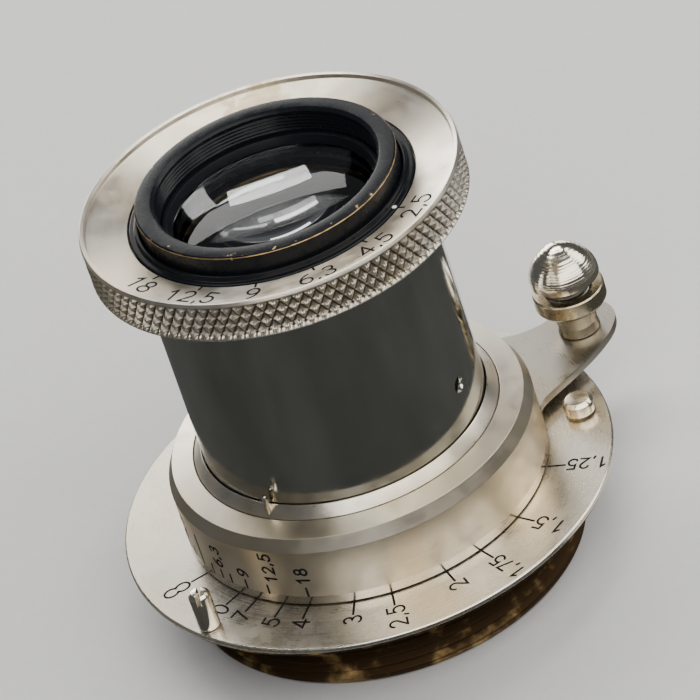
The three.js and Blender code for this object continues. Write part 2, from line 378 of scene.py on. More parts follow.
def block(name, centre, size, azimuth=0.0):
    """A box of the given size in millimetres, turned about Z."""
    shape = bmesh.new()
    bmesh.ops.create_cube(shape, size=1.0)
    place = (
        Matrix.Translation(Vector(centre) * MM)
        @ Matrix.Rotation(math.radians(azimuth), 4, "Z")
        @ Matrix.Diagonal((*(Vector(size) * MM), 1.0))
    )
    bmesh.ops.transform(shape, matrix=place, verts=shape.verts)
    mesh = bpy.data.meshes.new(name)
    shape.to_mesh(mesh)
    shape.free()
    return tidied(in_scene(name, mesh))


def rides(obj, body, material):
    """Adds a piece of its own, such as a scale's numbers, to a CAD body."""
    obj.data.materials.clear()
    obj.data.materials.append(material)
    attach(obj, body)


def stands_for(obj, node, material):
    """Puts a finished piece in place of a CAD node, on the same body."""
    obj.data.materials.clear()
    obj.data.materials.append(material)
    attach(obj, BODY_OF[node])
    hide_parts(node)


def turned_piece(node, name, material, fillet, columns=RING_COLUMNS):
    """Puts a turned solid in place of a CAD node, its corners rounded by fillet."""
    piece = turned(name, rounded(section(node), fillet), columns, axis_of(node))
    stands_for(piece, node, material)


# ---- Materials ----


class Shader:
    """Builds one material's nodes. Lengths in its formulas are millimetres."""

    def __init__(self, name):
        self.material = bpy.data.materials.new(name)
        self.material.use_nodes = True
        self.nodes = self.material.node_tree.nodes
        self.links = self.material.node_tree.links
        self.surface = self.nodes["Principled BSDF"]
        scaled = self.add("VectorMath", self.add("TexCoord").outputs["Object"])
        scaled.operation = "SCALE"
        scaled.inputs["Scale"].default_value = 1 / MM
        self.point = scaled.outputs[0]
        self.x, self.y, self.z = self.add("SeparateXYZ", self.point).outputs
        self.r = self.hypot(self.x, self.y)
        self.azimuth = self.math("ARCTAN2", self.y, self.x)

    def put(self, value, socket):
        """Links an output to a socket, or sets the socket's own value."""
        if isinstance(value, bpy.types.NodeSocket):
            self.links.new(value, socket)
        else:
            socket.default_value = value

    def add(self, kind, *values):
        """A new node, with its first inputs linked or set to the values."""
        node = self.nodes.new(f"ShaderNode{kind}")
        for value, socket in zip(values, node.inputs):
            self.put(value, socket)
        return node

    def plus(self, first, second):
        return self.math("ADD", first, second)

    def minus(self, first, second):
        return self.math("SUBTRACT", first, second)

    def times(self, first, second):
        return self.math("MULTIPLY", first, second)

    def hypot(self, x, y):
        """The length of (x, y)."""
        return self.math("SQRT", self.plus(self.times(x, x), self.times(y, y)))

    def math(self, operation, *values):
        node = self.add("Math", *values)
        node.operation = operation
        return node.outputs[0]

    def vector(self, x, y, z):
        return self.add("CombineXYZ", x, y, z).outputs[0]

    def noise(self, scale, detail=3.0, rough=0.55, at=None):
        node = self.add("TexNoise", self.point if at is None else at)
        node.inputs["Scale"].default_value = scale
        node.inputs["Detail"].default_value = detail
        node.inputs["Roughness"].default_value = rough
        return node.outputs["Fac"]

    def between(self, value, low, high, to_low=0.0, to_high=1.0):
        """Maps value from low..high smoothly to to_low..to_high, and holds it outside them."""
        node = self.add("MapRange", value, low, high, to_low, to_high)
        node.interpolation_type = "SMOOTHSTEP"
        return node.outputs[0]

    def mix(self, factor, first, second):
        """Mixes two colours."""
        node = self.add("Mix")
        node.data_type = "RGBA"
        self.put(factor, node.inputs["Factor"])
        for value, name in ((first, "A"), (second, "B")):
            socket = next(s for s in node.inputs if s.name == name and s.type == "RGBA")
            self.put(value if isinstance(value, bpy.types.NodeSocket) else (*value, 1.0), socket)
        return next(s for s in node.outputs if s.type == "RGBA")

    def bump(self, height, distance, strength=1.0):
        """Roughens the surface by a height field, distance millimetres deep."""
        node = self.add("Bump")
        node.inputs["Strength"].default_value = strength
        node.inputs["Distance"].default_value = distance * MM
        self.put(height, node.inputs["Height"])
        self.put(node.outputs["Normal"], self.surface.inputs["Normal"])

    def set(self, **values):
        """Sets or links the surface's own sockets, as Base_Color, Roughness and so on."""
        for name, value in values.items():
            if isinstance(value, tuple) and len(value) == 3:
                value = (*value, 1.0)
            self.put(value, self.surface.inputs[name.replace("_", " ")])

    def tooling(self, pitch):
        """Fine turning marks about the optical axis: they run round it, whatever the slope."""
        at = self.vector(self.times(self.r, 1 / pitch), self.times(self.z, 1 / pitch), self.azimuth)
        return self.noise(1.0, detail=2.0, at=at)


NICKEL = (0.74, 0.69, 0.60)
COLLAR_NICKEL = (0.64, 0.585, 0.49)
GREY_NICKEL = (0.40, 0.375, 0.33)
# darker, browner nickel: partly tarnish, partly painted shade under the lock button
TURRET_NICKEL = (0.44, 0.39, 0.29)
BROWNED_NICKEL = (0.52, 0.42, 0.26)
TARNISH = (0.40, 0.32, 0.22)
DIRT = (0.10, 0.075, 0.05)
BARE_BRASS = (0.62, 0.42, 0.18)
# very dark brown: tarnish on turned brass, and painted shade over the screw mount
TARNISHED_AND_SHADED_BRASS = (0.06, 0.036, 0.018)
EDGE_BRASS = (0.50, 0.34, 0.15)
# darker than the other nickel: painted shade, so that the mirror-like tube reads dark
TUBE_NICKEL = (0.52, 0.52, 0.48)
TUBE_STAIN = (0.43, 0.41, 0.36)
LACQUER = (0.006, 0.007, 0.009)
LACQUER_DUST = (0.030, 0.030, 0.031)


def nickel(name, roughness, colour=NICKEL, tarnish=0.2, marks=0.002, brushed=0.0,
           stain=None, knurl=None, foot=None):
    """Old nickel plate: warm, with turning marks, cloudy patches and a few small dark pits.
    brushed draws its highlights out. stain is the (x, y, radius) of one brown patch, knurl the
    (root radius, tip radius, top) of a knurl whose grooves are darker towards their roots, and
    foot a height and what the roughness is multiplied by below it."""
    s = Shader(name)
    cloud = s.between(s.noise(0.22, detail=4.0), 0.48, 0.72, 0.0, tarnish)
    plate = s.mix(cloud, colour, TARNISH)
    yellowed = tuple(c * k for c, k in zip(colour, (1.0, 0.95, 0.84)))
    plate = s.mix(s.between(s.noise(0.09), 0.4, 0.65), plate, yellowed)
    if stain:
        x, y, radius = stain
        away = s.hypot(s.minus(s.x, x), s.minus(s.y, y))
        ragged = s.plus(away, s.between(s.noise(0.8, detail=5.0), 0.2, 0.8, -2.0, 2.0))
        plate = s.mix(s.between(ragged, 0.5 * radius, radius, 0.85, 0.0), plate, BROWNED_NICKEL)
    pits = s.between(s.noise(3.4, detail=5.0, rough=0.7), 0.71, 0.76)
    spots = s.times(pits, s.between(s.noise(0.35), 0.52, 0.68))
    if knurl:
        root, tip, top = knurl
        # darker towards the roots of the knurl's grooves
        groove = s.times(s.between(s.r, root, tip, 0.7, 0.0),
                        s.between(s.z, top - 0.1, top, 1.0, 0.0))
        groove = s.times(groove, s.between(s.r, root - 0.12, root - 0.04))
        plate = s.mix(groove, plate, DIRT)
    s.set(Base_Color=s.mix(spots, plate, DIRT), Metallic=1.0, Anisotropic=brushed)
    s.set(Anisotropic_Rotation=0.25)  # highlights stretch across the turning marks
    tool = s.tooling(0.07)
    smudge = s.between(s.noise(0.5, detail=5.0), 0.3, 0.75, -0.04, 0.07)
    rough = s.plus(smudge, s.between(tool, 0.3, 0.7, roughness - 0.03, roughness + 0.04))
    if foot:
        height, factor = foot
        lower = s.between(s.z, height - 0.03, height + 0.03, factor, 1.0)
        rough = s.times(rough, lower)
    s.set(Roughness=s.plus(rough, s.times(spots, 0.3)))
    s.bump(s.minus(tool, spots), marks)
    return s.material


def polished_nickel():
    """The sliding tube: a near mirror with wipe marks, fine scratches and a few specks, its nickel
    colour darkened as painted shade.
    """
    s = Shader("polished_nickel")
    stain = s.between(s.noise(0.16, detail=5.0), 0.42, 0.7, 0.0, 0.3)
    speck = s.between(s.noise(2.4, detail=6.0, rough=0.75), 0.72, 0.77)
    # the tube's nickel is darkened as painted shade
    colour = s.mix(stain, TUBE_NICKEL, TUBE_STAIN)
    s.set(Base_Color=s.mix(speck, colour, DIRT), Metallic=1.0)
    smear = s.between(s.noise(0.6, detail=6.0), 0.35, 0.7, 0.08, 0.14)
    s.set(Roughness=s.plus(smear, s.times(speck, 0.3)))
    # scratches run along the tube, where it slides through the barrel
    along = s.vector(s.times(s.azimuth, 60.0), s.times(s.z, 0.12), 0.0)
    scratch = s.between(s.noise(1.0, detail=4.0, rough=0.7, at=along), 0.66, 0.72)
    s.bump(s.minus(s.times(s.tooling(0.05), 0.3), scratch), 0.001)
    return s.material


def brass(name, tarnish_and_shade, roughness=0.34):
    """Turned brass. The second argument, 0 to 1, is how much of it is dark brown: tarnish from age
    where it is low, and painted shade where it is high, as on the screw mount.
    """
    s = Shader(name)
    # dark brown patches: tarnish, and painted shade over most of the part when the second argument is
    # high
    brown = s.between(s.noise(0.3, detail=5.0), 0.75 - 0.6 * tarnish_and_shade, 0.95 - 0.5 * tarnish_and_shade)
    s.set(Base_Color=s.mix(brown, BARE_BRASS, TARNISHED_AND_SHADED_BRASS), Metallic=1.0)
    tool = s.tooling(0.07)
    s.set(Roughness=s.between(s.plus(tool, brown), 0.3, 1.5, roughness, roughness + 0.25))
    s.bump(tool, 0.003)
    return s.material


def lacquer(name, gloss, worn_at=None, brass_width=0.07):
    """Black lacquer over brass. It is worn through along the edge at worn_at, a (radius, height)
    pair, and in a few chips beside that edge."""
    s = Shader(name)
    dust = s.between(s.noise(4.5, detail=4.0, rough=0.7), 0.6, 0.8, 0.0, 0.2)
    black = s.mix(dust, LACQUER, LACQUER_DUST)
    smear = s.between(s.noise(0.8, detail=5.0), 0.3, 0.75, gloss, gloss + 0.14)
    height = s.tooling(0.09)
    if worn_at:
        dr = s.math("ABSOLUTE", s.minus(s.r, worn_at[0]))
        dz = s.math("ABSOLUTE", s.minus(s.z, worn_at[1]))
        away = s.math("MAXIMUM", dr, dz)
        wobble = s.between(s.noise(1.1, detail=4.0), 0.3, 0.7, 0.5 * brass_width, brass_width)
        line = s.between(away, s.times(wobble, 0.6), wobble, 1.0, 0.0)
        chips = s.times(s.between(s.noise(0.9, detail=5.0), 0.66, 0.69),
                       s.between(away, 0.2, 0.8, 1.0, 0.0))
        worn = s.math("MAXIMUM", line, chips)
        black = s.mix(worn, black, EDGE_BRASS)
        smear = s.plus(smear, s.times(worn, 0.15))
        height = s.minus(height, s.times(worn, 3.0))
        s.set(Metallic=worn)
    s.set(Base_Color=black, Roughness=smear, Specular_IOR_Level=0.14)
    s.bump(height, 0.003)
    return s.material


def dull_black():
    """Matt anti-reflection paint inside the cells."""
    s = Shader("dull_black")
    grain = s.noise(7.0, detail=4.0)
    s.set(Base_Color=s.mix(grain, (0.004, 0.004, 0.005), (0.016, 0.015, 0.015)))
    s.set(Roughness=s.between(grain, 0.3, 0.7, 0.62, 0.85))
    s.bump(grain, 0.01)
    return s.material


def steel(name, light, dark, roughness):
    """Turned or blued steel."""
    s = Shader(name)
    s.set(Base_Color=s.mix(s.noise(0.8, detail=5.0), dark, light), Metallic=1.0)
    s.set(Roughness=s.between(s.noise(1.7, detail=4.0), 0.3, 0.7, roughness, roughness + 0.18))
    s.bump(s.tooling(0.05), 0.003)
    return s.material


def glass(name, tint):
    """Polished optical glass with a trace of dust and wiping haze."""
    s = Shader(name)
    s.set(Base_Color=tint, IOR=1.7, Transmission_Weight=1.0)
    haze = s.between(s.noise(0.45, detail=5.0), 0.5, 0.8, 0.0, 0.02)
    dust = s.between(s.noise(6.0, detail=3.0, rough=0.8), 0.74, 0.78, 0.0, 0.2)
    s.set(Roughness=s.plus(haze, dust))
    return s.material


def paint(name, light, dark):
    """Engraver's paint: dull, and slightly uneven where it has worn."""
    s = Shader(name)
    wear = s.noise(2.2, detail=4.0)
    s.set(Base_Color=s.mix(s.between(wear, 0.35, 0.75), dark, light), Roughness=0.8)
    s.set(Specular_IOR_Level=0.15)
    s.bump(s.noise(9.0, detail=2.0), 0.004)
    return s.material


def floor_paper():
    """Pale studio paper."""
    s = Shader("floor_paper")
    fibre = s.noise(0.9, detail=6.0)
    s.set(Base_Color=s.mix(fibre, (0.60, 0.60, 0.595), (0.66, 0.66, 0.655)), Roughness=0.9)
    s.bump(fibre, 0.02, strength=0.4)
    return s.material


def flag_cloth():
    """Black cloth that takes light away from the polished tube."""
    s = Shader("flag_cloth")
    weave = s.between(s.noise(0.03, detail=4.0), 0.3, 0.7)
    s.set(Base_Color=s.mix(weave, (0.030, 0.032, 0.031), (0.048, 0.050, 0.048)), Roughness=0.95)
    return s.material


# ---- Engraved figures ----
# Each figure is a list of strokes in a box 1 high and FIGURE_W wide, drawn by one round cutter.

FIGURE_W = 0.62
MARK_W = {",": 0.16, "oo": 9 / 7}  # the marks that are not FIGURE_W wide
INFINITY = ("oo",)
STROKE_STEP = 0.25  # millimetres
LINE_W = 0.22  # width of the engraver's cut
ROUND = 24  # steps of a full circle in a figure

FIGURES = {
    "0": [arc((0.31, 0.5), (0.29, 0.5), 90, 450, ROUND)],
    "1": [[(0.12, 0.76), (0.36, 1.0), (0.36, 0.0)]],
    "2": [arc((0.3, 0.71), (0.27, 0.29), 165, -38, 16) + [(0.03, 0.0), (0.6, 0.0)]],
    "3": [
        arc((0.28, 0.76), (0.24, 0.24), 150, -90, 14) + arc((0.28, 0.26), (0.29, 0.26), 90, -150, 16)
    ],
    "4": [[(0.46, 0.0), (0.46, 1.0), (0.0, 0.27), (0.64, 0.27)]],
    "5": [[(0.56, 1.0), (0.12, 1.0), (0.08, 0.56)] + arc((0.27, 0.32), (0.3, 0.32), 122, -150, 18)],
    "6": [arc((0.62, 0.32), (0.6, 0.68), 100, 180, 8) + arc((0.31, 0.3), (0.29, 0.3), 180, 540, ROUND)],
    "7": [[(0.02, 1.0), (0.6, 1.0), (0.22, 0.0)]],
    "8": [
        arc((0.31, 0.76), (0.23, 0.24), -90, 270, ROUND),
        arc((0.31, 0.26), (0.29, 0.26), 90, 450, ROUND),
    ],
    "9": [arc((0.0, 0.68), (0.6, 0.68), -80, 0, 8) + arc((0.31, 0.7), (0.29, 0.3), 0, 360, ROUND)],
    ",": [[(0.1, 0.06), (0.04, -0.14)]],
    "oo": [
        arc((0.34, 0.5), (0.34, 0.27), 30, 330, ROUND) + arc((0.93, 0.5), (0.34, 0.27), 210, 510, ROUND)
    ],
}


def ribbon(stroke, width):
    """A stroke of a round cutter along a line of points, as flat points and faces."""
    line = [Vector(p) for p in stroke]
    half = width / 2
    left, right = [], []
    for i, here in enumerate(line):
        on = (line[min(i + 1, len(line) - 1)] - line[min(i, len(line) - 2)]).normalized()
        back = (line[max(i, 1)] - line[max(i - 1, 0)]).normalized()
        along = (back + on).normalized()
        side = Vector((-along.y, along.x))
        stretch = 1 / max(0.5, along.dot(on))
        left.append(here + side * half * stretch)
        right.append(here - side * half * stretch)
    points = left + right
    n = len(line)
    faces = [[i + n, i + n + 1, i + 1, i] for i in range(n - 1)]
    for tip, away, corners in (
        (line[0], line[0] - line[1], (0, n)),
        (line[-1], line[-1] - line[-2], (2 * n - 1, n - 1)),
    ):
        facing = math.degrees(math.atan2(away.y, away.x))
        cap = arc(tip, half, facing - 90, facing + 90, 6)[1:-1]
        start = len(points)
        points += [Vector(p) for p in cap]
        faces.append([corners[0], *range(start, start + len(cap)), corners[1]])
    return [tuple(p) for p in points], faces


def text_strokes(text, height, spacing):
    """Strokes of a number, centred on (0, 0), and its length."""
    strokes, pen = [], 0.0
    for mark in text:
        strokes += [[(pen + x * height, y * height) for x, y in s] for s in FIGURES[mark]]
        pen += height * MARK_W.get(mark, FIGURE_W) + spacing
    length = pen - spacing
    return [[(x - length / 2, y - height / 2) for x, y in s] for s in strokes], length


def close_points(stroke):
    """The stroke with points no more than STROKE_STEP apart, so that it bends with a surface."""
    result = [Vector(stroke[0])]
    for here, there in zip(stroke, stroke[1:]):
        start, end = Vector(here), Vector(there)
        count = math.ceil((end - start).length / STROKE_STEP - 1e-6)
        result += [start.lerp(end, (i + 1) / count) for i in range(count)]
    return result


def spun(strokes, azimuth):
    """The strokes turned about the optical axis."""
    spin = Matrix.Rotation(math.radians(azimuth), 2)
    return [[tuple(spin @ Vector(p)) for p in stroke] for stroke in strokes]


def engraving(name, strokes, place, body, material):
    """Paint-filled engraving: strokes on a surface given by place(x, y, height)."""
    points, faces = [], []
    for stroke in strokes:
        more_points, more_faces = ribbon(close_points(stroke), LINE_W)
        faces += [[v + len(points) for v in face] for face in more_faces]
        points += more_points
    rides(slab(name, points, faces, place, lift=0.012, sink=0.03), body, material)


# ---- Mount ----

THREAD_PITCH = 25.4 / 26
THREAD_DEPTH = 0.5
THREAD_ROWS = 96
THREAD_TOP = -1.0
THREAD_FADE = 0.5  # how far it takes to reach full depth at each end
INFINITY_AZIMUTH = -161.6
FOCUS_TURN = 66.8  # degrees of focusing for each millimetre that the glass moves
FOCAL_LENGTH = 50.0
DISTANCES = ("10", "7", "5", "4", "3", "2,5", "2", "1,75", "1,5", "1,25", "1")
STOPS = ("2,5", "4,5", "6,3", "9", "12,5", "18")
SCALE_TICK = (17.92, 19.6)
SCALE_FIGURES_R = 19.85  # where the figure next to the tick begins
SCALE_SIZE = (1.65, 0.38)  # figures' height and the space between them
LONG_SIZE = (1.45, 0.3)  # for a distance of four marks
INFINITY_SIZE = (2.1, 0.0)
SCREW_SLOT = (3.0, 0.32, 0.36)  # size of the block that cuts it
NEAR_SLOT_W = 0.45
NEAR_SLOT_DEPTH = 1.0
NEAR_SLOT_AZIMUTH = -102.0


def distance_azimuth(metres):
    """Where the mark of a focusing distance stands."""
    extension = FOCAL_LENGTH**2 / (1000 * metres - FOCAL_LENGTH)
    return INFINITY_AZIMUTH + FOCUS_TURN * extension


def value_of(text):
    """The value of a number that is written with a decimal comma, or of the infinity sign."""
    return math.inf if text is INFINITY else float(text.replace(",", "."))


def v_thread(turns):
    """Depth of a V thread, 0 on its crest and 1 in its root, after some number of turns."""
    return min(1.0, max(0.0, 1.15 * abs(2 * (turns % 1.0) - 1) - 0.075))


def mount(look):
    """Screw mount, scale disc with its engraving, screws and the two stops."""
    # its brass is dark almost all over: painted shadow under the flange, with some tarnish
    screw_thread(look["mount_brass_painted_shade"])
    turned_piece("scale_disc", "distance_scale_disc", look["disc"], 0.05)
    distance_scale(look["black_paint"])
    for k in range(1, 5):
        mount_screw(k, look["steel"])
    infinity_post(look["bright"])
    near_stop(look["bright"])


def screw_thread(material):
    """The screw mount, with a helical thread between its plain ends."""
    profile = rounded(section("screw_mount"), 0.1)
    wall = [(r, z) for r, z in profile if z < THREAD_TOP]
    outer = max(r for r, _ in wall)
    heights = [z for r, z in wall if abs(r - outer) < WALL_SLACK]
    low, high = min(heights) + 0.05, THREAD_TOP

    def offset(around, z):
        fade = min(1.0, (z - low) / THREAD_FADE, (high - z) / THREAD_FADE)
        return -THREAD_DEPTH * fade * v_thread(z / THREAD_PITCH - around)

    piece = relief("mount_thread", profile, outer, (low, high), THREAD_ROWS, RING_COLUMNS, offset)
    stands_for(piece, "screw_mount", material)


def distance_scale(material):
    """Ticks and figures of the focusing scale, engraved in the disc's face."""
    face_z = box_mm("scale_disc")[1].z
    sheet = []
    for text in (INFINITY, *DISTANCES):
        size = INFINITY_SIZE if text is INFINITY else LONG_SIZE if len(text) > 3 else SCALE_SIZE
        figures, length = text_strokes(text, *size)
        # the text reads inwards, so its x runs against the radius, and its top faces -azimuth
        middle = SCALE_FIGURES_R + length / 2
        marks = [[(SCALE_TICK[0], 0.0), (SCALE_TICK[1], 0.0)]]
        marks += [[(middle - x, -y) for x, y in stroke] for stroke in figures]
        sheet += spun(marks, distance_azimuth(value_of(text)))
    engraving("distance_scale_figures", sheet, level(face_z), "mount", material)


def mount_screw(k, material):
    """A countersunk screw of the flange, with its slot."""
    node = f"mount_screw_{k}"
    axis = axis_of(node)
    low, _ = box_mm(node)
    screw = turned(f"flange_screw_{k}", rounded(section(node), 0.05), SMALL_COLUMNS, axis)
    slot = block("slot", (*axis, low.z), SCREW_SLOT, azimuth=37.0 * k)
    stands_for(carve(screw, slot), node, material)


def infinity_post(material):
    """The post that the lever's lock catches at infinity, with a dimple in its top."""
    node = "infinity_post"
    top = box_mm(node)[1].z
    profile = rounded(section(node)[:-1] + [(0.4, top), (0.0, top - 0.2)], 0.1)
    post = turned("infinity_stop_post", profile, SMALL_COLUMNS, axis_of(node))
    stands_for(post, node, material)


def near_stop(material):
    """The round post that the lever meets at its closest focus, slotted for a screwdriver."""
    node = "near_stop"
    low, high = box_mm(node)
    post_r = (high.x - low.x) / 2
    profile = rounded([
        (0.0, low.z), (post_r, low.z), (post_r, high.z - 0.4), (0.7 * post_r, high.z - 0.06),
        (0.0, high.z),
    ], 0.25)
    post = turned("near_stop_post", profile, SMALL_COLUMNS, axis_of(node))
    slot_size = (3 * post_r, NEAR_SLOT_W, 2 * NEAR_SLOT_DEPTH)
    slot = block("slot", (*axis_of(node), high.z), slot_size, NEAR_SLOT_AZIMUTH)
    stands_for(carve(post, slot), node, material)


# ---- Focusing barrel ----

DOF_TICK = (2.15, 3.1)
DOF_FIGURES_Z = 3.6  # where the figures above the ticks begin
DOF_SIZE = (1.22, 0.3)
DOF_LABELS = ("6,3", "9", "12,5", "18")
DOF_LABEL_STEP = 10.8  # degrees from one figure to the next, to keep them apart
INDEX_LINE_TOP = 5.6
CONFUSION = 0.036  # circle of confusion that the depth-of-field marks allow, in millimetres


def barrel(look):
    """Sleeve, collar, guide ring with its pin, and the lever."""
    for node, name, fillet, material in (
        ("focus_sleeve", "focus_sleeve_thread", 0.1, "brass"),
        ("focus_collar", "focusing_collar", 0.07, "collar"),
        ("guide_ring", "tube_guide_ring", 0.07, "cone"),
        ("rangefinder_ring", "rangefinder_cam_ring", 0.08, "brass"),
    ):
        turned_piece(node, name, look[material], fillet)
    turned_piece("guide_pin", "guide_peg", look["bright"], 0.12, SMALL_COLUMNS)
    depth_scale(look["black_paint"])
    lever(look["lever"])


def depth_scale(material):
    """Depth-of-field marks, the same to both sides of the index, engraved in the collar."""
    wall_r = box_mm("focus_collar")[1].x

    def place(x, y, height):
        # x climbs the wall and y runs round it, as an arc length
        return about(wall_r + height, y / wall_r, x)

    def put(azimuth, strokes):
        shift = math.radians(azimuth) * wall_r
        return [[(x, y + shift) for x, y in stroke] for stroke in strokes]

    tick = [[(DOF_TICK[0], 0.0), (DOF_TICK[1], 0.0)]]
    strokes = put(INFINITY_AZIMUTH, [[(DOF_TICK[0], 0.0), (INDEX_LINE_TOP, 0.0)]])
    for side in (1, -1):
        for text in STOPS:
            spread = value_of(text) * CONFUSION * FOCUS_TURN
            strokes += put(INFINITY_AZIMUTH + side * spread, tick)
        for k, text in enumerate(DOF_LABELS, start=1):
            figures, length = text_strokes(text, *DOF_SIZE)
            middle = DOF_FIGURES_Z + length / 2
            # the text reads upwards, so its x climbs the wall and its top faces -azimuth
            marks = [[(x + middle, -y) for x, y in stroke] for stroke in figures]
            strokes += put(INFINITY_AZIMUTH + side * k * DOF_LABEL_STEP, marks)
    engraving("depth_scale_figures", strokes, place, "barrel", material)


def top_outline(node):
    """The outer edge of a CAD plate's top face, as points in millimetres, anticlockwise."""
    top = box_mm(node)[1].z
    solid = mesh_of(node)

    def on_rim(edge):
        on_top = all(abs(v.co.z / MM - top) < 1e-3 for v in edge.verts)
        return on_top and any(abs(face.normal.z) < 0.5 for face in edge.link_faces)

    links = linked(filter(on_rim, solid.edges))
    start = max(links, key=lambda v: v.co.length)
    loop = [(v.co.x / MM, v.co.y / MM) for v in walk(links, start)]
    solid.free()
    area = sum(a[0] * b[1] - b[0] * a[1] for a, b in zip(loop, loop[1:] + loop[:1]))
    return loop if area > 0 else loop[::-1]


def smoothed(loop, steps=4):
    """A closed loop of points with a smooth curve through them, its sharp corners kept."""
    points = [Vector(p) for p in loop]
    count = len(points)
    sharp = []
    for i, here in enumerate(points):
        turn = (here - points[i - 1]).angle(points[(i + 1) % count] - here)
        sharp.append(turn > math.radians(32))
    result = []
    for i in range(count):
        a, b = points[i], points[(i + 1) % count]
        before = a if sharp[i] else points[i - 1]
        after = b if sharp[(i + 1) % count] else points[(i + 2) % count]
        for k in range(steps):
            t = k / steps
            result.append(tuple(0.5 * (
                2 * a + (b - before) * t
                + (2 * before - 5 * a + 4 * b - after) * t * t
                + (3 * a - before - 3 * b + after) * t**3
            )))
    return result


def plate(name, node, outline):
    """A flat piece of the given outline, as thick and as high up as a CAD node."""
    low, high = box_mm(node)
    middle, half = (low.z + high.z) / 2, (high.z - low.z) / 2
    return slab(name, outline, [list(range(len(outline)))], level(middle), half, half)


def lever(material):
    """The focusing lever, a flat plate with softened edges."""
    piece = plate("lever_plate", "focus_lever", smoothed(top_outline("focus_lever")))
    stands_for(bevelled(piece, 0.3), "focus_lever", material)


LOCK_COLUMNS = 128
DOME_RINGS = 12  # fine turned lines round the lock button's dome
DOME_LINE_DEPTH = 0.035


def lock(look):
    """The sprung infinity lock on the lever."""
    turned_piece("lock_turret", "lock_turret_cup", look["turret"], 0.1, LOCK_COLUMNS)
    turned_piece("lock_plunger", "lock_plunger_rod", look["steel"], 0.1, LOCK_COLUMNS)
    button = turned("lock_button_dome", dome_profile(), LOCK_COLUMNS, axis_of("lock_button"))
    stands_for(button, "lock_button", look["dome"])
    coil_spring(look["steel"])


def dome_profile():
    """Outline of the lock button: a rim and a rounded cone with fine turned lines."""
    low, high = box_mm("lock_button")
    corners = section("lock_button")
    rim_r = max(r for r, _ in corners)
    rim_z = max(z for r, z in corners if r > rim_r - WALL_SLACK)
    flank = sorted(((r, z) for r, z in corners if r > ON_AXIS and z >= rim_z), key=lambda p: p[1])
    mirrored = [(-r, z) for r, z in reversed(flank)]
    steps = 6
    whole = smoothed([*flank, (0.0, high.z), *mirrored], steps)
    edge = 0.12
    outline = [
        (0.0, low.z), (rim_r - 4 * edge, low.z), (rim_r - edge, low.z + 0.5 * edge),
        (rim_r, low.z + 1.5 * edge),
    ]
    spacing = (high.z - rim_z) / DOME_RINGS
    line_z = rim_z + spacing
    for r, z in whole[: steps * len(flank)]:
        if z > line_z and r > 0.3:
            outline.append((r - DOME_LINE_DEPTH, z - 0.5 * DOME_LINE_DEPTH))
            line_z += spacing
        outline.append((min(r, rim_r), min(z, high.z)))
    return outline + [(0.0, high.z)]


def coil_spring(material):
    """The lock's spring, wound round the plunger."""
    node = "lock_spring"
    low, high = box_mm(node)
    axis = axis_of(node)
    wire_r = 0.17
    coil_r = (high.x - low.x) / 2 - wire_r
    turns, around, sides = 4.5, 28, 10
    steps = int(turns * around)
    climb = (high.z - low.z - 2 * wire_r) / steps
    vertices = []
    for i in range(steps + 1):
        for r, rise in arc((coil_r, 0.0), wire_r, 0, 360, sides)[:-1]:
            z = low.z + wire_r + climb * i + rise
            vertices.append(about(r, 2 * math.pi * i / around, z, axis))
    rows = [list(range(i * sides, (i + 1) * sides)) for i in range(steps + 1)]
    faces = skin(rows, closed=False) + [rows[0], rows[-1]]
    spring = make_object("lock_coil_spring", vertices, faces)
    stands_for(spring, node, material)
    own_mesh(spring)


# ---- Sliding head ----

KNURL_ROUND = 100  # pyramids round the front ring
KNURL_ROWS = 4
KNURL_DEPTH = 0.42
KNURL_FLAT = 0.25  # share of a pyramid's height that wear has taken off
KNURL_STEPS = 4  # mesh steps for half a pyramid
KNURL_MARGIN = 0.1  # plain wall left above and below the knurl
STOP_SIZE = (1.9, 0.38)  # figures' height and the space between them
STOP_SPACING = 22.0
FIRST_STOP_AZIMUTH = -39.8
FILTER_PITCH = 0.35
FILTER_DEPTH = 0.16
FILTER_THREADS = 6
DISH_R, DISH_Z = 17.45, 34.5  # the front ring's dished face is within and above these
CELL_MOUTH_Z = 36.5  # the front cell's bore is at its widest above this
HOLE_AZIMUTH = -38.0
HOLE_Z = 14.3


def wall_band(profile, wall_r, margin):
    """Lowest and highest height of the profile's straight wall at wall_r, less the margin."""
    heights = [z for r, z in profile if abs(r - wall_r) < WALL_SLACK]
    return min(heights) + margin, max(heights) - margin


def knurled_ring(material):
    """The front ring, its rim cut with staggered rows of pyramids."""
    profile = rounded(section("front_ring"), 0.06)
    rim = max(r for r, _ in profile)
    low, high = wall_band(profile, rim, KNURL_MARGIN)

    def offset(around, z):
        # u and v count pyramids round the ring and up it; a peak stands where both are halves
        u, v = around * KNURL_ROUND, (z - low) / (high - low) * KNURL_ROWS / 2 + 0.25
        depth = max(abs(2 * ((u + v) % 1.0) - 1), abs(2 * ((u - v) % 1.0) - 1))
        return -KNURL_DEPTH * (max(depth, KNURL_FLAT) - KNURL_FLAT) / (1 - KNURL_FLAT)

    columns = KNURL_ROUND * 2 * KNURL_STEPS
    rows = KNURL_ROWS * KNURL_STEPS
    ring = relief("knurled_front_ring", profile, rim, (low, high), rows, columns, offset)
    stands_for(ring, "front_ring", material)


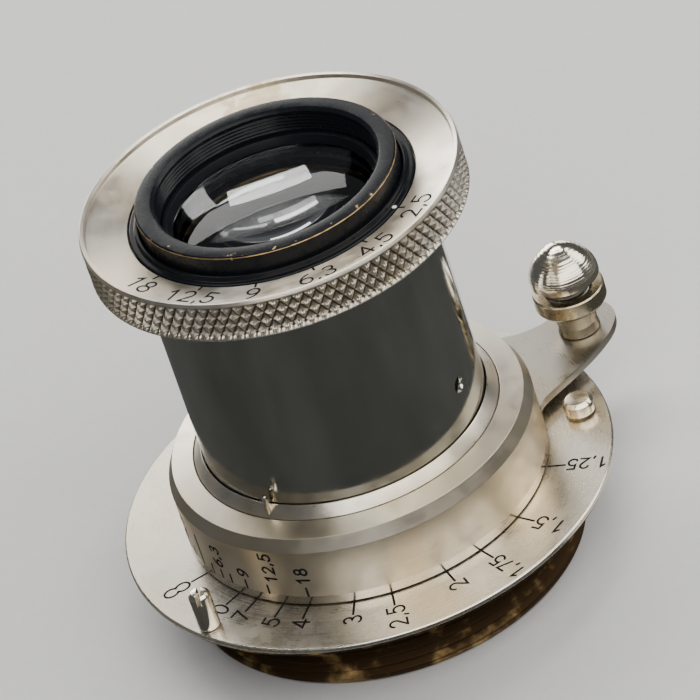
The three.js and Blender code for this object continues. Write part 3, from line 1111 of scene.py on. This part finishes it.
def ring_scale(material):
    """Aperture figures round the front ring's dished face."""
    dish = [p for p in section("front_ring") if p[1] > DISH_Z and p[0] < DISH_R]
    (inner_r, inner_z), (outer_r, outer_z) = min(dish), max(dish)
    slope = (outer_z - inner_z) / (outer_r - inner_r)

    def place(x, y, height):
        return (x, y, inner_z + (math.hypot(x, y) - inner_r) * slope + height)

    sheet = []
    middle = (inner_r + outer_r) / 2 + 0.1
    for k, text in enumerate(STOPS):
        figures, _ = text_strokes(text, *STOP_SIZE)
        # the text's top faces the glass, so its x runs towards larger azimuths
        marks = [[(middle - y, x) for x, y in stroke] for stroke in figures]
        marks.append([(inner_r + 0.05, 0.0), (inner_r + 0.65, 0.0)])
        sheet += spun(marks, FIRST_STOP_AZIMUTH - k * STOP_SPACING)
    engraving("aperture_figures", sheet, place, "head", material)


def glass_cell(material):
    """The front glass's cell, with a fine filter thread cut in the mouth of its bore."""
    profile = rounded(section("front_cell"), 0.06)
    bore = min(r for r, z in profile if z > CELL_MOUTH_Z)
    high = wall_band(profile, bore, 0.05)[1]
    low = high - FILTER_THREADS * FILTER_PITCH

    def offset(around, z):
        fade = min(1.0, (z - low) / FILTER_PITCH, (high - z) / FILTER_PITCH)
        return FILTER_DEPTH * fade * v_thread(z / FILTER_PITCH - around)

    rows = 10 * FILTER_THREADS
    piece = relief("front_glass_cell", profile, bore, (low, high), rows, RING_COLUMNS, offset)
    stands_for(piece, "front_cell", material)


def lens_element(node, name, material):
    """A ground lens element: two spherical faces and a cylindrical edge."""
    profile = section(node)
    rim = max(r for r, _ in profile)
    poles = sorted((profile[0][1], profile[-1][1]))
    edge = sorted(z for r, z in profile if r > rim - 0.05)
    radii = [rim * i / GLASS_RINGS for i in range(GLASS_RINGS + 1)]

    def face(pole, edge_z):
        drop = edge_z - pole
        if abs(drop) < 1e-3:
            return [(r, pole) for r in radii]
        curve = (rim * rim + drop * drop) / (2 * drop)
        bend = [math.copysign(math.sqrt(curve * curve - r * r), curve) for r in radii]
        return [(r, pole + curve - b) for r, b in zip(radii, bend)]

    whole = face(poles[0], edge[0]) + face(poles[1], edge[-1])[::-1]
    stands_for(turned(name, whole, GLASS_COLUMNS), node, material)


def drilled_tube(material):
    """The sliding tube, with the small countersunk hole in its wall."""
    tube = turned("sliding_tube", rounded(section("lens_tube"), 0.08))
    outer = box_mm("lens_tube")[1].x
    out = direction(HOLE_AZIMUTH)
    hole_r, sink_r = 0.62, 0.8
    drill = turned("drill", [
        (0.0, -2.0), (hole_r, -2.0), (hole_r, -0.3), (sink_r, 0.02), (sink_r, 0.3), (0.0, 0.3),
    ], 48)
    drill.data.transform(placed(out * outer + Vector((0, 0, HOLE_Z)), out))
    stands_for(carve(tube, drill), "lens_tube", material)


def head(look):
    """Everything that slides out with the tube."""
    drilled_tube(look["tube"])
    knurled_ring(look["front_ring"])
    ring_scale(look["black_paint"])
    glass_cell(look["cell"])
    inside = {
        "front_retainer": ("front_retaining_ring", "retainer"),
        "middle_cell": ("middle_glass_cell", "dull_black"),
        "middle_retainer": ("middle_retaining_ring", "dull_black"),
        "rear_cell": ("rear_glass_cell", "dull_black"),
        "rear_retainer": ("rear_retaining_ring", "dull_black"),
        "iris_housing": ("iris_cup", "dull_black"),
        "iris_drive_ring": ("iris_cam_ring", "brass"),
    }
    for node, (name, material) in inside.items():
        turned_piece(node, name, look[material], 0.06, GLASS_COLUMNS)
    for node in (
        "front_crown", "front_flint", "middle_front_element", "middle_rear_element",
        "rear_front_element", "rear_rear_element",
    ):
        lens_element(node, f"{node}_glass", look["glass"])


BLADES = 8
DOT_R = 0.24
DOT_INSET = 0.27  # from the ledge's edge to the dot's middle


def aperture(look):
    """The black ring that turns the iris, its white index dot, and the iris blades."""
    turned_piece("aperture_ring", "aperture_bead_ring", look["bead"], 0.16)
    index_dot(look["white_paint"])
    for k in range(1, BLADES + 1):
        node = f"iris_blade_{k}"
        leaf = plate(f"iris_leaf_{k}", node, smoothed(top_outline(node), 3))
        stands_for(leaf, node, look["blade"])


def index_dot(material):
    """The dot on the aperture ring's ledge that points at the aperture figures."""
    profile = section("aperture_ring")
    outer = max(r for r, _ in profile)
    ledge_z = max(z for r, z in profile if r > outer - WALL_SLACK)
    spot = Matrix.Rotation(math.radians(FIRST_STOP_AZIMUTH), 2) @ Vector((outer - DOT_INSET, 0.0))
    dome = [(0.0, ledge_z - 0.02), (DOT_R, ledge_z - 0.02), (0.9 * DOT_R, ledge_z + 0.03),
            (0.0, ledge_z + 0.05)]
    dot = turned("aperture_index_dot", dome, 32, tuple(spot))
    rides(dot, "aperture", material)


def tail_spring(look):
    """The split spring ring at the tube's tail, which grips the sleeve's bore."""
    node = "tube_spring_ring"
    outer = box_mm(node)[1].y
    inner = box_mm("lens_tube")[1].x + 0.08
    gap = 4.0
    ends = (gap, 360 - gap)
    outline = arc((0, 0), outer, *ends, 160) + arc((0, 0), inner, *ends[::-1], 160)
    stands_for(bevelled(plate("tube_tail_spring", node, outline), 0.08, 2), node, look["brass"])


# ---- Studio ----

CAMERA_SPOT = (0.0, -371.49, 269.21)
CAMERA_LENS = 247.79
CAMERA_PITCH = 34.274
CAMERA_YAW = -0.308
CAMERA_ROLL = -18.563

FLOOR_SIDE = 6000.0
LIGHT_AIM_Z = 18.0
LIGHTS = (
    # name, azimuth, elevation, distance, width, height, brightness
    ("back_left_softbox", 101.0, 13.5, 520.0, 230.0, 245.0, 7.0),
    ("back_right_softbox", 73.5, 10.0, 520.0, 170.0, 230.0, 3.2),
    ("back_high_softbox", 97.0, 32.0, 520.0, 300.0, 80.0, 2.0),
    ("top_softbox", 92.0, 69.0, 460.0, 400.0, 150.0, 8.0),
    ("front_softbox", -70.0, 50.0, 520.0, 820.0, 320.0, 4.0),
    ("right_softbox", 14.0, 38.0, 520.0, 260.0, 280.0, 4.0),
)
LIGHT_COLOUR = (1.0, 0.985, 0.96)
SKY = (0.5, 0.52, 0.55)
SKY_STRENGTH = 0.2
FLAG_STEPS = 40
FLAGS = (
    # name, radii, azimuths. The second starts further out, so that the turned collar and the
    # lever's edge mirror pale floor.
    ("black_flag_left", (29.0, 300.0), (-250.0, -36.0)),
    ("black_flag_right", (35.0, 300.0), (-36.0, 52.0)),
)


def camera():
    """The camera, at the photograph's viewing angle."""
    data = bpy.data.cameras.new("camera")
    data.lens = CAMERA_LENS
    data.sensor_width = 36.0
    obj = in_scene("camera", data)
    ahead = Matrix(((1, 0, 0), (0, 0, -1), (0, 1, 0)))  # looks along +Y, image rows downwards
    aim = (
        Matrix.Rotation(math.radians(CAMERA_ROLL), 3, "Z")
        @ Matrix.Rotation(math.radians(CAMERA_YAW), 3, "Y")
        @ Matrix.Rotation(math.radians(CAMERA_PITCH), 3, "X")
        @ ahead
    )
    turn = aim.transposed() @ Matrix.Diagonal((1, -1, -1))
    obj.matrix_world = Matrix.Translation(Vector(CAMERA_SPOT) * MM) @ turn.to_4x4()
    bpy.context.scene.camera = obj


def softbox(name, azimuth, elevation, distance, width, height, brightness):
    """A soft rectangular light that faces the lens, as bright all over as the number says."""
    data = bpy.data.lights.new(name, "AREA")
    data.shape = "RECTANGLE"
    data.size, data.size_y = width * MM, height * MM
    data.energy = brightness * math.pi * data.size * data.size_y
    data.color = LIGHT_COLOUR
    away = direction(azimuth, elevation)
    light = in_scene(name, data)
    light.matrix_world = placed(away * distance + Vector((0, 0, LIGHT_AIM_Z)), away)


def studio():
    """Pale floor, black cloths on it that only reflections see, and soft lights."""
    floor_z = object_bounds()[0][2] / MM
    black = flag_cloth()
    reach = FLOOR_SIDE / 2
    corners = [(-reach, -reach), (reach, -reach), (reach, reach), (-reach, reach)]
    sheet = slab("floor", corners, [[0, 1, 2, 3]], level(floor_z), lift=-0.01, sink=5.0)
    sheet.data.materials.append(floor_paper())

    for name, radii, azimuths in FLAGS:
        rims = [arc((0, 0), r, *azimuths, FLAG_STEPS) for r in radii]
        stride = FLAG_STEPS + 1
        faces = [[k, k + stride, k + stride + 1, k + 1] for k in range(FLAG_STEPS)]
        flag = slab(name, rims[0] + rims[1], faces, level(floor_z), lift=0.6, sink=-0.4)
        flag.data.materials.append(black)
        for ray in ("camera", "diffuse", "shadow", "transmission"):
            setattr(flag, f"visible_{ray}", False)

    world = bpy.data.worlds.new("world")
    bpy.context.scene.world = world
    world.use_nodes = True
    sky = world.node_tree.nodes["Background"]
    sky.inputs["Color"].default_value = (*SKY, 1.0)
    sky.inputs["Strength"].default_value = SKY_STRENGTH

    for light in LIGHTS:
        softbox(*light)


# ---- Everything ----


def looks():
    """All the materials by name."""
    cell, rim = box_mm("front_cell")[1], box_mm("front_ring")[1]
    lever_top = box_mm("focus_lever")[1].z
    return {
        "disc": nickel("scale_nickel", 0.27, brushed=0.5),
        "collar": nickel(
            "collar_nickel", 0.36, COLLAR_NICKEL, marks=0.003, foot=(DOF_TICK[0] - 0.05, 0.5),
        ),
        "cone": nickel("cone_nickel", 0.32, tarnish=0.25, brushed=0.7),
        "lever": nickel(
            "lever_nickel", 0.3, GREY_NICKEL, tarnish=0.35, foot=(lever_top - 0.14, 1.8),
        ),
        # darkened partly as painted shade, where the button shades its cup
        "turret": nickel("turret_nickel", 0.27, TURRET_NICKEL, tarnish=0.6),
        "dome": nickel("dome_nickel", 0.16, tarnish=0.1, brushed=0.6),
        "bright": nickel("bright_nickel", 0.16, tarnish=0.15, marks=0.001),
        "front_ring": nickel(
            "front_nickel", 0.34, tarnish=0.4, brushed=0.8, stain=(1.5, 15.5, 3.2),
            knurl=(rim.x - KNURL_DEPTH, rim.x - 0.25, rim.z - 0.25),
        ),
        "tube": polished_nickel(),
        "brass": brass("turned_brass", tarnish_and_shade=0.35),
        # dark almost all over: painted shadow under the flange, with some tarnish
        "mount_brass_painted_shade": brass("mount_brass_painted_shade", tarnish_and_shade=0.9, roughness=0.42),
        "steel": steel("turned_steel", (0.5, 0.5, 0.49), (0.3, 0.3, 0.3), 0.28),
        "blade": steel("blued_steel", (0.08, 0.085, 0.10), (0.04, 0.045, 0.055), 0.3),
        "cell": lacquer("cell_lacquer", 0.2, worn_at=(cell.x, cell.z - 0.14)),
        "retainer": lacquer("retainer_lacquer", 0.3),
        "bead": lacquer("bead_lacquer", 0.08),
        "dull_black": dull_black(),
        "glass": glass("optical_glass", (0.97, 0.975, 0.98)),
        "black_paint": paint("engraving_black", (0.018, 0.017, 0.016), (0.006, 0.006, 0.006)),
        "white_paint": paint("index_white", (0.85, 0.84, 0.80), (0.6, 0.58, 0.52)),
    }


camera()
look = looks()
mount(look)
barrel(look)
lock(look)
tail_spring(look)
head(look)
aperture(look)
studio()
